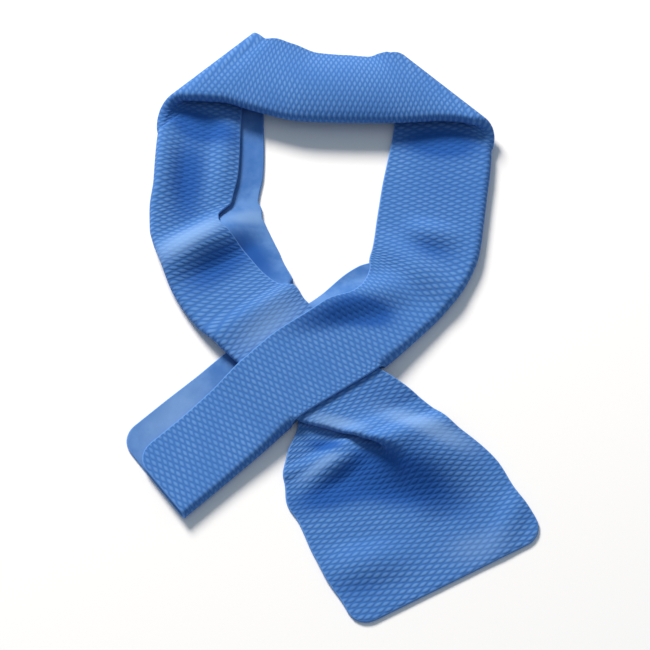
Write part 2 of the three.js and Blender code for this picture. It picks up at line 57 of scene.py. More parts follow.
# One row per place along the strip, from the leg's end to the tail's end. Angles are in degrees.
# x, y: outer edge of the lengthwise fold, in strip widths.
# lift: lower layer above the surface, in layers. settle: share by which the section is let down onto it.
# toward: direction from the fold to the free edges.
# skew: angle from the direction of travel to the ruling. flip: how far the band has turned over.
# rise, fall: slope of the band at the fold and at the free edges. puff: fold radius over its usual size.
# close: angle by which the upper layer leans on the lower. upper: width of the upper layer, in strip widths.
# pleat: distance from the fold to the pleat's valley, in strip widths.
# open: turn of the cloth through the fold, from 180 where the layers lie on each other to 0 where the strip
# lies open. valley: turn through the pleat's valley.
# gather: share of the width that small puckers take up, and below 0 where the cloth is stretched.
COLUMNS = (
    "x", "y", "lift", "settle", "toward", "skew", "flip", "rise", "fall", "puff",
    "close", "upper", "pleat", "open", "valley", "gather",
)
ROWS = np.array([
    [-0.672, -1.069, 0, 0, 127.6, 90, 0, 0, 0, 1, 3.6, 0.43, 0.54, 180, 0, 0.04],
    [-0.499, -0.91, 0, 0, 127.6, 90, 0, 0, 0, 1, 3.6, 0.43, 0.54, 180, 0, 0.04],
    [-0.317, -0.742, 0, 0, 127.9, 90, 0, 0, 0, 1.2, 3, 0.435, 0.535, 180, 0, 0.035],
    [-0.133, -0.569, 0, 0, 128.6, 90, 0, 0, 0, 1.5, 0, 0.445, 0.525, 180, 0, 0.02],
    [0.069, -0.428, 0, 0, 128.6, 90, 0, 0, 0, 1.5, 0, 0.47, 0.5, 180, 0, 0],
    [0.273, -0.288, 0, 0, 128.6, 90, 0, 0, 0, 1.5, 0, 0.465, 0.505, 180, 0, 0.01],
    [0.446, -0.122, 0, 0, 136.3, 90, 0, 0, 0, 1.2, 2.5, 0.43, 0.54, 180, 0, 0.07],
    [0.608, 0.052, 0, 0, 148.3, 90, 0, 0, 0, 1, 3.6, 0.465, 0.505, 180, 0, 0.03],
    [0.706, 0.188, 0, 0, 160.3, 90, 0, 0, 0, 1, 3.6, 0.51, 0.46, 180, 0, 0],
    [0.785, 0.374, 0, 0, 174.1, 90, 0, 0, 0, 1, 3.6, 0.545, 0.425, 180, 0, 0],
    [0.816, 0.569, 0, 0, 177, 90, 0, 0, 0, 1, 3.6, 0.55, 0.42, 180, 0, 0],
    [0.838, 0.73, 0, 0, 174, 86, 0, 0, 0, 1, 3.6, 0.545, 0.425, 180, 0, 0],
    [0.858, 0.87, 0, 0, 157, 68, 0, 0, 0, 1, 3.6, 0.525, 0.445, 180, 0, 0.03],
    [0.868, 1, 0, 0, 131.5, 45, 0, 0, 0, 1, 3.4, 0.505, 0.465, 180, 0, 0.07],
    [0.785, 1.12, 0, 0, 133.5, 46, 180, 0, 0, 1, 3.4, 0.49, 0.48, 180, 0, 0.1],
    [0.58, 1.155, -0.5, 0, 124.5, 55.5, 180, -14, 12, 1, 3, 0.49, 0.48, 180, 0, 0.155],
    [0.37, 1.15, -0.7, 0, 109, 71, 180, -25, 30, 1, 3, 0.495, 0.475, 180, 0, 0.115],
    [0.13, 1.151, -0.7, 0, 93, 88, 180, -28, 34, 1, 3, 0.49, 0.48, 180, 0, 0.08],
    [-0.13, 1.161, -0.7, 0, 78, 102, 180, -26, 30, 1, 3, 0.49, 0.48, 180, 0, 0.09],
    [-0.376, 1.22, -0.6, 0, 64, 116, 180, -16, 14, 1, 3, 0.49, 0.48, 180, 0, 0.155],
    [-0.55, 1.27, -0.4, 0, 55, 125, 180, -8, 5, 1, 3.2, 0.47, 0.5, 180, 0, 0.245],
    [-0.725, 1.272, 0, 0, 46, 129, 180, 0, 0, 1, 3.4, 0.47, 0.5, 180, 0, 0.17],
    [-0.872, 1.1, 0, 0, 48, 137.5, 360, 0, 0, 1, 3.4, 0.46, 0.51, 180, 0, 0],
    [-0.88, 0.956, 0, 0, 22, 112, 360, 0, 0, 1, 3.6, 0.44, 0.53, 180, 0, 0],
    [-0.885, 0.804, 0, 0, 6, 97, 360, 0, 0, 1, 3.6, 0.435, 0.535, 180, 0, 0],
    [-0.901, 0.654, 0, 0, 5.3, 92, 360, 0, 0, 1, 3.6, 0.43, 0.54, 180, 0, 0.015],
    [-0.9, 0.605, 0, 0, 6.8, 93.5, 360, 0, 0, 1, 3.6, 0.4, 0.57, 180, 0, 0.04],
    [-0.898, 0.563, 0, 0, 7.8, 94.5, 360, 0, 0, 1, 3.6, 0.38, 0.59, 180, 0, 0.07],
    [-0.895, 0.52, 0, 0, 9, 96, 360, 0, 0, 1, 3.6, 0.38, 0.59, 180, 0, 0.07],
    [-0.883, 0.47, 0, 0, 10.8, 98, 360, 0, 0, 1, 3.6, 0.382, 0.588, 180, 0, 0.065],
    [-0.867, 0.416, 0, 0, 13, 100, 360, 0, 0, 1, 3.6, 0.395, 0.575, 180, 0, 0.045],
    [-0.825, 0.3, 0, 0, 16.5, 103, 360, 0, 0, 1, 3.6, 0.415, 0.555, 180, 0, 0.015],
    [-0.779, 0.183, 0, 0, 20.5, 106, 360, 0, 0, 1, 3.6, 0.43, 0.54, 180, 0, 0],
    [-0.637, -0.045, 1, 0, 31.9, 104, 360, 0, 0, 0.8, 2.4, 0.46, 0.51, 180, 0, 0],
    [-0.56, -0.122, 2.6, 0, 36, 98, 360, 0, 0, 0.5, 0.7, 0.5, 0.46, 180, 180, 0],
    [-0.478, -0.203, 2, 0, 38, 94, 360, 0, 0, 0.4, 0.1, 0.48, 0.425, 180, 180, 0],
    [-0.298, -0.38, 1.5, 0.5, 36, 90, 360, 0, 0, 0.4, 0, 0.48, 0.34, 180, 180, 0],
    [-0.127, -0.565, 1, 1, 35, 90, 360, 0, 0, 0.4, 0, 0.48, 0.26, 180, 180, 0],
    [0.02, -0.608, 0.7, 1, 31, 90, 360, 0, 0, 0.5, 3, 0.45, 0.16, 180, 180, 0],
    [0.166, -0.668, 0.3, 1, 28.4, 90, 360, 0, 0, 0.6, 10.3, 0.409, 0.099, 165, 165, -0.012],
    [0.37, -0.768, 0, 1, 28, 90, 360, 0, 0, 0.8, 6.5, 0.361, 0.069, 55, 55, 0.056],
    [0.513, -0.963, 0, 1, 28, 90, 360, 0, 0, 1, 2, 0.381, 0.115, 10, 10, -0.016],
    [0.577, -1.083, 0, 1, 28, 90, 360, 0, 0, 1, 0, 0.38, 0.15, 0, 0, -0.02],
    [0.65, -1.205, 0, 1, 28, 89.3, 360, 0, 0, 1, 0, 0.385, 0.2, 0, 0, -0.02],
    [0.718, -1.331, 0, 1, 27.6, 88.4, 360, 0, 0, 1, 0, 0.38, 0.2, 0, 0, -0.02],
], float)
SLIT_ROW = 4  # the row at the slit's middle

# Soft waves that lift the cloth, both layers together. x, y: middle of the crest, in strip widths.
# along: direction of the crest, in degrees. reach, spread: half its length and half its width, in strip
# widths. first, last: rows between which the wave lies. rise: height of the crest, in wall thicknesses.
WAVES = (
    (-0.62, 0.44, 33, 0.42, 0.16, 22, 33, 5),
    (-0.846, 0.9, 92, 0.42, 0.13, 22, 30, 3),
    (-0.52, 0.98, 88, 0.38, 0.1, 22, 30, 1.6),
    (0.467, 0.298, -47, 0.34, 0.12, 4, 13, 2.4),
    (0.55, 0.5, -20, 0.2, 0.1, 4, 13, 1.8),
    (0.12, 0.1, 17, 0.5, 0.15, 2, 9, 3.2),
    (0.4, -0.73, -8, 0.42, 0.25, 37, 44, 5),
    (0.04, -0.78, 35, 0.25, 0.11, 37, 44, 3),
    (0.2, -1.3, 10, 0.3, 0.15, 37, 44, 1.8),
    (0.9, -1.06, 65, 0.3, 0.1, 37, 44, 1),
)

# Soft patches of painted light in the cloth's colour. x, y, along, reach, spread, first, last: as for the
# waves.
# side: 0 outside, 1 inside. tone: above 0 the cloth is pulled flat by stretch and pale, the paleness partly
# a painted highlight on ridges that face the light; below 0 it is painted deeper as painted shade in dips,
# creases and under the top band.
STRETCH_AND_PAINTED_LIGHT_PATCHES = (
    (-0.68, 0.45, 33, 0.38, 0.14, 22, 33, 0, 1.0),
    (-0.27, -0.04, 46, 0.42, 0.2, 28, 36, 0, 0.7),
    (-0.71, 0.82, 88, 0.46, 0.16, 22, 31, 0, -1.0),
    (-0.42, 0.95, 88, 0.35, 0.12, 22, 31, 1, -0.5),
    (-0.73, -0.53, 43, 0.45, 0.25, 0, 4, 1, 0.8),
    (-0.53, 0.32, 40, 0.4, 0.18, 28, 34, 0, -1.0),
    (-0.64, 1.15, -22, 0.36, 0.14, 21, 27, 0, -1.2),
    (-0.4, 0.6, 15, 0.22, 0.09, 22, 31, 1, 1.0),
    (-0.37, 0.38, -50, 0.3, 0.15, 24, 35, 1, -1.0),
    (0.09, 0.01, 13, 0.44, 0.14, 2, 9, 0, -0.9),
    (0.22, 0.01, -15, 0.24, 0.13, 2, 9, 0, -0.8),
    (0.55, 0.4, -20, 0.24, 0.12, 4, 13, 0, -0.6),
    (0.6, 1.05, -6, 0.34, 0.14, 4, 13, 0, -1.2),
    (0.62, 0.8, 88, 0.5, 0.4, 4, 13, 0, -0.35),
    (0.27, -0.86, -8, 0.52, 0.23, 37, 44, 0, -1.3),
    (-0.02, -0.97, 14, 0.28, 0.13, 37, 44, 0, -0.8),
    (0.6, -1, -20, 0.34, 0.2, 37, 44, 0, -0.4),
    (0.17, -1.43, 5, 0.28, 0.13, 37, 44, 0, -0.4),
    (0.02, -0.78, 35, 0.3, 0.08, 37, 44, 0, 1.3),
    (0.05, -0.58, -14, 0.24, 0.07, 37, 44, 0, 0.9),
    (0.04, -0.7, -12, 0.22, 0.06, 37, 44, 0, -1.0),
    (0.5, -0.61, -24, 0.44, 0.12, 37, 44, 0, 0.9),
    (0.74, -1.2, 20, 0.3, 0.2, 37, 44, 0, 0.5),
)

# Sizes of the folds and of the slit, in metres. A share has no unit.
REST_GAP = 0.0004  # air between two layers that touch
FOLD_RADIUS = 0.003  # lengthwise fold, to the middle of the cloth
FLIP_RADIUS_FOLD = 0.008  # turn of the outer layer at the two top corners, at the fold
FLIP_RADIUS_EDGE = 0.0046  # the same turn at the free edges
SLIT_SHARE = 0.57  # slit length over the strip's width
PLEAT_RADIUS = 0.0011  # pleat's valley, to the middle of the cloth
LIP_PULL = 0.57  # share of the fold's width left in the slit's upper lip
LOWER_LIP_PULL = 0.3  # the same for the lower lip
LIP_RAMP = 0.004  # the lips part fully this far from each end of the slit

# Faces in each part of the strip's width, from the upper layer's free edge to the lower one's.
UPPER_FACES = 30
FOLD_FACES = 10
LOWER_FACES = 24
VALLEY_FACES = 6
FLAP_FACES = 20
FOLD_COLUMN = UPPER_FACES + FOLD_FACES // 2
ROOT_COLUMN = UPPER_FACES + FOLD_FACES
EDGE_CROWDING = 1.3  # above 1, columns lie closer together near the free edges

# Spacing of the stations along the strip, in metres or degrees, and the rounded cut edge.
STATION_STEP = 0.0021  # from one station to the next where the band lies plain
FLIP_STEP = 6  # degrees between stations where the band turns over
VALLEY_STEP = 24  # degrees between stations where the pleat's valley turns
SAMPLE = 0.00025  # step at which the table is read to spread the stations
MARK_CLEARANCE = STATION_STEP / 3  # from an end of the slit to its neighbour station, at least
CORNER_FADE = 3  # corner radii over which the slide of the stations fades out
RIM_ANGLES = (45, 0, -45)  # rings of the rounded cut edge
RIM_ROUND = 0.45  # how far the cut edge bulges, over the wall

# Noise in the cloth's colour and grain, in repeats per metre.
WOBBLE_SCALE = 110.0  # how the grains stray
BLOTCH_SCALE = 38.0  # paler patches of the outside
INSIDE_BLOTCH_SCALE = 60.0
PORE_SCALE = 2600.0  # fine pores of the outside
INSIDE_PORE_SCALE = 1500.0
EDGE_PORE_SCALE = 900.0

# Looks of the cloth.
BLOTCH_EDGES = (0.3, 0.7)  # noise between which a paler patch fades in
INSIDE_BLOTCH_EDGES = (0.35, 0.68)
GROOVE_FLOOR = 0.05  # height of the net below which a groove is flat
PORE_SHARE = 0.12  # height of the outside's pores over that of its grains
PORE_DEPTH = 0.00008  # pores of the inside and of the cut edge, in metres
STRETCH_AND_HIGHLIGHT_SHARE = 0.75  # how far the place most drawn flat by stretch loses its colour, to a paler one that is partly a painted highlight, and its embossing
PAINTED_SHADE_SHARE = 0.95  # how far the deepest place takes the painted shade colour
CLOTH_ROUGHNESS = 0.9
CLOTH_SPECULAR = 0.15
SHEEN_WEIGHT = 0.03
SHEEN_ROUGHNESS = 0.6

# The stage, in metres. The lights point at the middle of the wrap.
FLOOR_HALF = 4.0
FLOOR_DROP = 0.0002  # from the wrap down to the floor
FLOOR_ROUGHNESS = 0.9
KEY_SIZE = 1.4
KEY_PLACE = (-1.6, 3.0, 2.25)
FILL_SIZE = 1.6
FILL_PLACE = (0.5, -0.4, 1.9)
FILL_COLOR = (1, 1, 1)
SENSOR_WIDTH = 36.0  # in millimetres
CAMERA_NEAREST = 0.05
CAMERA_FARTHEST = 20.0


class Strip:
    """The table as smooth functions of the distance along the strip. Two rows are as far apart as the
    middle of the band goes between them, or as far as the cloth goes round a flip, if that is more."""

    def __init__(self, width, wall):
        self.width, self.wall, self.layer = width, wall, wall + REST_GAP
        toward = np.radians(ROWS[:, COLUMNS.index("toward")])
        reach = width / 4 / np.sin(np.radians(ROWS[:, COLUMNS.index("skew")]))
        middle = ROWS[:, :2] * width + reach[:, None] * np.stack([np.cos(toward), np.sin(toward)], 1)
        way = np.linalg.norm(np.diff(middle, axis=0), axis=1)
        turned = np.radians(np.diff(ROWS[:, COLUMNS.index("flip")]))
        way = np.maximum(way, turned * (FLIP_RADIUS_FOLD + FLIP_RADIUS_EDGE) / 2)
        self.knots = np.concatenate([[0.0], np.cumsum(way)])
        self.slopes = self._slopes()
        self.end = self.knots[-1]

    def _slopes(self):
        """Slopes of a cubic that never overshoots: the weighted harmonic mean of the secants on both
        sides of a row, or 0 where they differ in sign."""
        step = np.diff(self.knots)[:, None]
        secant = np.diff(ROWS, axis=0) / step
        a, b = secant[:-1], secant[1:]
        wa, wb = 2 * step[1:] + step[:-1], step[1:] + 2 * step[:-1]
        same = a * b > 0
        safe_a, safe_b = np.where(same, a, 1.0), np.where(same, b, 1.0)
        inner = np.where(same, (wa + wb) / (wa / safe_a + wb / safe_b), 0.0)
        return np.vstack([secant[:1], inner, secant[-1:]])

    def at(self, distance):
        """Every column of the table at each distance: a cubic between rows, and the flip evenly."""
        i = np.clip(np.searchsorted(self.knots, distance, side="right") - 1, 0, len(self.knots) - 2)
        h = (self.knots[i + 1] - self.knots[i])[:, None]
        t = np.clip((distance - self.knots[i])[:, None] / h, 0, 1)
        a, b = ROWS[i], ROWS[i + 1]
        cubic = a + (b - a) * t * t * (3 - 2 * t)
        cubic += h * t * (1 - t) * ((1 - t) * self.slopes[i] - t * self.slopes[i + 1])
        row = {name: cubic[:, c : c + 1] for c, name in enumerate(COLUMNS)}
        flip = COLUMNS.index("flip")
        row["flip"] = (a + (b - a) * t)[:, flip : flip + 1]
        return row

    def stations(self):
        """Distances of the stations: evenly spaced, closer where the band flips or the pleat turns, with
        one at each end of the slit."""
        fine = np.arange(0, self.end, SAMPLE)
        row = self.at(fine)
        density = SAMPLE / STATION_STEP
        for name, step in (("flip", FLIP_STEP), ("valley", VALLEY_STEP)):
            density += np.abs(np.gradient(row[name][:, 0])) / step
        total = np.concatenate([[0.0], np.cumsum(density)])[:-1]
        count = int(round(total[-1]))
        spread = np.interp(np.linspace(0, total[-1], count + 1), total, fine)
        spread[-1] = self.end
        marks = np.array(self.slit())
        spread = spread[np.abs(spread[:, None] - marks).min(axis=1) > MARK_CLEARANCE]
        return np.sort(np.concatenate([spread, marks]))

    def slit(self):
        """Where the slit begins and ends along the strip."""
        half = SLIT_SHARE * self.width / 2
        return self.knots[SLIT_ROW] - half, self.knots[SLIT_ROW] + half


def walked(steps, angles):
    """Path that goes on by each step in a direction that changes evenly: the chord of each small arc."""
    half = np.diff(angles, axis=1) / 2
    chord = steps * np.sinc(half / np.pi)
    middle = (angles[:, 1:] + angles[:, :-1]) / 2
    start = np.zeros((len(steps), 1))
    across = np.hstack([start, np.cumsum(chord * np.cos(middle), axis=1)])
    up = np.hstack([start, np.cumsum(chord * np.sin(middle), axis=1)])
    return across, up


def crowded(count):
    """Shares from 0 to 1 that lie closer together near 1."""
    return 1 - (1 - np.linspace(0, 1, count + 1)) ** EDGE_CROWDING


def section(strip, row, opening):
    """Section across the strip at every station: the place v across the cloth, and the place (u, h) in the
    band's own frame, across from the fold and up from the lower layer. From the fold's foot the lower
    layer runs straight, through the pleat's valley and into the flap; walked the other way, the cloth
    turns through the fold and comes back as the upper layer. Slopes at the fold and at the free edges
    bend both layers alike. opening is 1 where the slit's lips are fully apart and 0 past its ends.
    Returns v, u, h and the upper lip's own u and h."""
    width = strip.width
    fold = np.pi * FOLD_RADIUS * row["puff"]
    valley = np.pi * PLEAT_RADIUS
    fold_turn = np.radians(row["open"] + row["close"])
    valley_turn = np.radians(row["valley"])
    start = np.radians(row["open"] - 180)
    fold_at = row["upper"] * width
    root_at = fold_at + fold / 2
    valley_at = fold_at + row["pleat"] * width

    def slope(reach):
        share = np.clip(reach / (width / 2), 0, 1)
        return np.radians(row["rise"] + (row["fall"] - row["rise"]) * share)

    to_valley = root_at + (valley_at - valley / 2 - root_at) * np.linspace(0, 1, LOWER_FACES + 1)
    through = valley_at - valley / 2 + valley * np.linspace(0, 1, VALLEY_FACES + 1)
    flap = valley_at + valley / 2 + (width - valley_at - valley / 2) * crowded(FLAP_FACES)
    lower_v = np.hstack([to_valley, through[:, 1:], flap[:, 1:]])
    turned = np.clip((lower_v - (valley_at - valley / 2)) / valley, 0, 1) * valley_turn
    kept = 1 - row["gather"]
    lower_u, lower_h = walked(np.diff(lower_v, axis=1) * kept, start + slope(lower_v - root_at) - turned)

    share = np.linspace(0, 1, FOLD_FACES + 1)
    fold_v = root_at - fold * share
    fold_u, fold_h = walked(-np.diff(fold_v, axis=1), np.pi + start + slope(0) - fold_turn * share)
    top_at = fold_v[:, -1:]
    between = FOLD_RADIUS * row["puff"] + strip.layer / 2
    inner = 1 + between * np.radians(row["fall"] - row["rise"]) / (width / 2)
    upper_v = top_at * (1 - crowded(UPPER_FACES))
    turn = np.pi + start - fold_turn
    upper_u, upper_h = walked(-np.diff(upper_v, axis=1) * kept, turn + slope((top_at - upper_v) * inner))
    upper_u, upper_h = upper_u + fold_u[:, -1:], upper_h + fold_h[:, -1:]

    v = np.hstack([upper_v[:, :0:-1], fold_v[:, ::-1], lower_v[:, 1:]])
    u = np.hstack([upper_u[:, :0:-1], fold_u[:, ::-1], lower_u[:, 1:]]) - fold_u[:, -1:]
    h = np.hstack([upper_h[:, :0:-1], fold_h[:, ::-1], lower_h[:, 1:]])

    # Where the slit is open the two halves of the fold lie straight, one lip on each side of the cut.
    top, cut, root = UPPER_FACES, FOLD_COLUMN, ROOT_COLUMN
    lip_u = u[:, top : top + 1] - (v - v[:, top : top + 1]) * LIP_PULL
    lip_h = np.broadcast_to(h[:, top : top + 1], h.shape)
    foot_u = u[:, root : root + 1] - (v[:, root : root + 1] - v) * LOWER_LIP_PULL
    foot_h = np.broadcast_to(h[:, root : root + 1], h.shape)
    lip = (
        (u + (lip_u - u) * opening)[:, cut : cut + 1],
        (h + (lip_h - h) * opening)[:, cut : cut + 1],
    )
    open_u, open_h = u.copy(), h.copy()
    upper, under = slice(top, cut), slice(cut, root + 1)
    open_u[:, upper] += ((lip_u - u) * opening)[:, upper]
    open_h[:, upper] += ((lip_h - h) * opening)[:, upper]
    open_u[:, under] += ((foot_u - u) * opening)[:, under]
    open_h[:, under] += ((foot_h - h) * opening)[:, under]
    return v, open_u, open_h, lip


def placed(strip, row, u, h, drop):
    """Place in space of the section's points: out from the fold's edge along the ruling, up by h, and
    where the band flips, round a roll whose radius goes from the fold's to the free edge's."""
    width = strip.width
    toward, flip = np.radians(row["toward"]), np.radians(row["flip"])
    along = (u + FOLD_RADIUS * row["puff"] + strip.wall / 2) / np.sin(np.radians(row["skew"]))
    share = np.clip(u / (width / 2), 0, 1)
    bend = FLIP_RADIUS_FOLD + (FLIP_RADIUS_EDGE - FLIP_RADIUS_FOLD) * share
    side = (bend - h + drop) * np.sin(flip)
    x = row["x"] * width + along * np.cos(toward) + side * np.sin(toward)
    y = row["y"] * width + along * np.sin(toward) - side * np.cos(toward)
    z = strip.wall / 2 + row["lift"] * strip.layer + bend * (1 - np.cos(flip)) + (h - drop) * np.cos(flip)
    return np.stack([x, y, z], axis=-1)


def soft_patch(strip, points, distance, x, y, along, reach, spread, first, last):
    """From 1 in the middle of a patch to 0 at its rim: a squared cosine along it times one across it."""
    dx, dy = points[..., 0] / strip.width - x, points[..., 1] / strip.width - y
    cos, sin = math.cos(math.radians(along)), math.sin(math.radians(along))
    a = np.clip(np.abs(dx * cos + dy * sin) / reach, 0, 1)
    b = np.clip(np.abs(dy * cos - dx * sin) / spread, 0, 1)
    there = (distance >= strip.knots[first]) & (distance <= strip.knots[last])
    return there * (np.cos(a * np.pi / 2) * np.cos(b * np.pi / 2)) ** 2


def raised(strip, points, distance):
    """Height that the waves add together."""
    height = np.zeros(points.shape[:-1])
    for *patch, rise in WAVES:
        height += rise * strip.wall * soft_patch(strip, points, distance, *patch)
    return height


def toned(strip, points, distance):
    """Tone of the outside and of the inside, painted light and stretch: the sum of the patches on each side,
    from -1 to 1.
    """
    tone = np.zeros((*points.shape[:-1], 2))
    for *patch, side, amount in STRETCH_AND_PAINTED_LIGHT_PATCHES:
        tone[..., side] += amount * soft_patch(strip, points, distance, *patch)
    return np.clip(tone, -1, 1)


def shortened(v, width, radius):
    """How much a rounded corner shortens the strip at a place v across it: the gap between a square
    corner and a circle."""
    edge = np.clip(radius - np.clip(np.minimum(v, width - v), 0, None), 0, radius)
    return radius - np.sqrt(radius**2 - edge**2)


def middle_surface(strip, corner_radius):
    """Middle surface of the cloth as a grid (station, column), with the slit's upper lip beside it. The
    slit opens as the square root of the distance from its ends. Rounded corners slide each column's
    stations along the strip. Returns the points, what each carries for the materials (its place along and
    across the flat strip, and the tone of painted light and stretch of the outside and of the inside), the
    lip, where the slit is, and the strip's length."""
    distance = strip.stations()
    row = strip.at(distance)
    slit_from, slit_to = strip.slit()
    inside = np.minimum(distance - slit_from, slit_to - distance)
    opening = np.sqrt(np.clip(inside / LIP_RAMP, 0, 1))[:, None]
    v, u, h, lip = section(strip, row, opening)
    drop = row["settle"] * h.min(axis=1, keepdims=True)
    points = placed(strip, row, u, h, drop)
    lips = placed(strip, row, lip[0], lip[1], drop)[:, 0]
    skew = np.radians(row["skew"])
    step = np.linalg.norm(np.diff(points, axis=0), axis=2)
    step = np.average(step, axis=1, weights=np.gradient(v[0]))
    walked_to = np.concatenate([[0.0], np.cumsum(step)])[:, None]
    along = walked_to + (u - strip.width / 4) * np.cos(skew) / np.sin(skew)
    place = np.stack([along, v], axis=-1)

    fade = CORNER_FADE * corner_radius
    start, end = np.clip(1 - distance / fade, 0, 1), np.clip(1 - (strip.end - distance) / fade, 0, 1)
    slid = distance[:, None] + shortened(v, strip.width, corner_radius) * (start - end)[:, None]
    i = np.clip(np.searchsorted(distance, slid, side="right") - 1, 0, len(distance) - 2)
    t = ((slid - distance[i]) / (distance[i + 1] - distance[i]))[..., None]
    column = np.broadcast_to(np.arange(v.shape[1]), v.shape)
    points = points[i, column] * (1 - t) + points[i + 1, column] * t
    place = place[i, column] * (1 - t) + place[i + 1, column] * t
    # Each point carries its painted light: paler on ridges drawn flat by stretch, partly a painted
    # highlight, and painted shade in dips.
    carried = np.concatenate([place, toned(strip, points, slid)], axis=-1)
    points[..., 2] += raised(strip, points, slid)
    lips[:, 2] += raised(strip, lips, distance)
    in_slit = (distance > slit_from) & (distance < slit_to)
    return points, carried, lips, in_slit, walked_to[-1, 0]


def thickened(points, carried, lips, in_slit, wall):
    """The cloth as a closed shell: the middle surface moved half a wall along its normals to each side,
    and a half-round rim along every free edge. Returns vertices, what they carry for the materials, quads
    and the finish of each quad: 0 outside, 1 inside, 2 cut edge."""
    stations, columns = points.shape[:2]
    lower = np.arange(stations * columns).reshape(stations, columns)
    upper = lower.copy()
    upper[in_slit, FOLD_COLUMN] = lower.size + np.arange(in_slit.sum())
    middle = np.concatenate([points.reshape(-1, 3), lips[in_slit]])
    carried = np.concatenate([carried.reshape(lower.size, -1), carried[in_slit, FOLD_COLUMN]])

    def quads_of(ids):
        return np.stack([ids[:-1, :-1], ids[1:, :-1], ids[1:, 1:], ids[:-1, 1:]], axis=-1)

    quads = np.concatenate([
        quads_of(upper)[:, :FOLD_COLUMN].reshape(-1, 4),
        quads_of(lower)[:, FOLD_COLUMN:].reshape(-1, 4),
    ])
    corners = middle[quads]
    face_normal = np.cross(corners[:, 2] - corners[:, 0], corners[:, 3] - corners[:, 1])
    normal = np.zeros_like(middle)
    np.add.at(normal, quads, face_normal[:, None, :])
    normal /= np.linalg.norm(normal, axis=1, keepdims=True)

    begin, end = quads.ravel(), np.roll(quads, -1, axis=1).ravel()
    count = len(middle)
    free = ~np.isin(begin * count + end, end * count + begin)
    begin, end = begin[free], end[free]
    tangent = middle[end] - middle[begin]
    outward = np.zeros_like(middle)
    np.add.at(outward, begin, tangent)
    np.add.at(outward, end, tangent)
    outward = np.cross(outward, normal)
    rim = np.unique(begin)
    outward = outward[rim] / np.linalg.norm(outward[rim], axis=1, keepdims=True)

    shells = [middle + normal * wall / 2, middle - normal * wall / 2]
    for angle in RIM_ANGLES:
        up, out = math.sin(math.radians(angle)), math.cos(math.radians(angle))
        shells.append(middle[rim] + (normal[rim] * up / 2 + outward * out * RIM_ROUND) * wall)
    carried = np.concatenate([carried, carried, *[carried[rim]] * len(RIM_ANGLES)])

    ring_of = np.zeros(count, int)
    ring_of[rim] = np.arange(len(rim))
    starts = [2 * count + n * len(rim) for n in range(len(RIM_ANGLES))]
    levels = [(begin, end)]
    levels += [(s + ring_of[begin], s + ring_of[end]) for s in starts]
    levels.append((begin + count, end + count))
    rings = [np.stack([b[1], b[0], c[0], c[1]], axis=-1) for b, c in zip(levels, levels[1:])]
    faces = np.concatenate([quads, quads[:, ::-1] + count, *rings])
    finish_of = np.repeat([1, 0, 2], [len(quads), len(quads), len(faces) - 2 * len(quads)])
    return np.concatenate(shells), carried, faces, finish_of


def mesh_object(name, vertices, quads, finish_of, materials):
    """A mesh object from arrays of vertices and quads, smooth all over."""
    mesh = bpy.data.meshes.new(name)
    mesh.vertices.add(len(vertices))
    mesh.vertices.foreach_set("co", vertices.astype(np.float32).ravel())
    mesh.loops.add(quads.size)
    mesh.loops.foreach_set("vertex_index", quads.astype(np.int32).ravel())
    mesh.polygons.add(len(quads))
    mesh.polygons.foreach_set("loop_start", np.arange(0, quads.size, 4, dtype=np.int32))
    for material in materials:
        mesh.materials.append(material)
    mesh.polygons.foreach_set("material_index", finish_of.astype(np.int32))
    mesh.update(calc_edges=True)
    mesh.validate()
    mesh.shade_smooth()
    made = bpy.data.objects.new(name, mesh)
    bpy.context.scene.collection.objects.link(made)
    return made


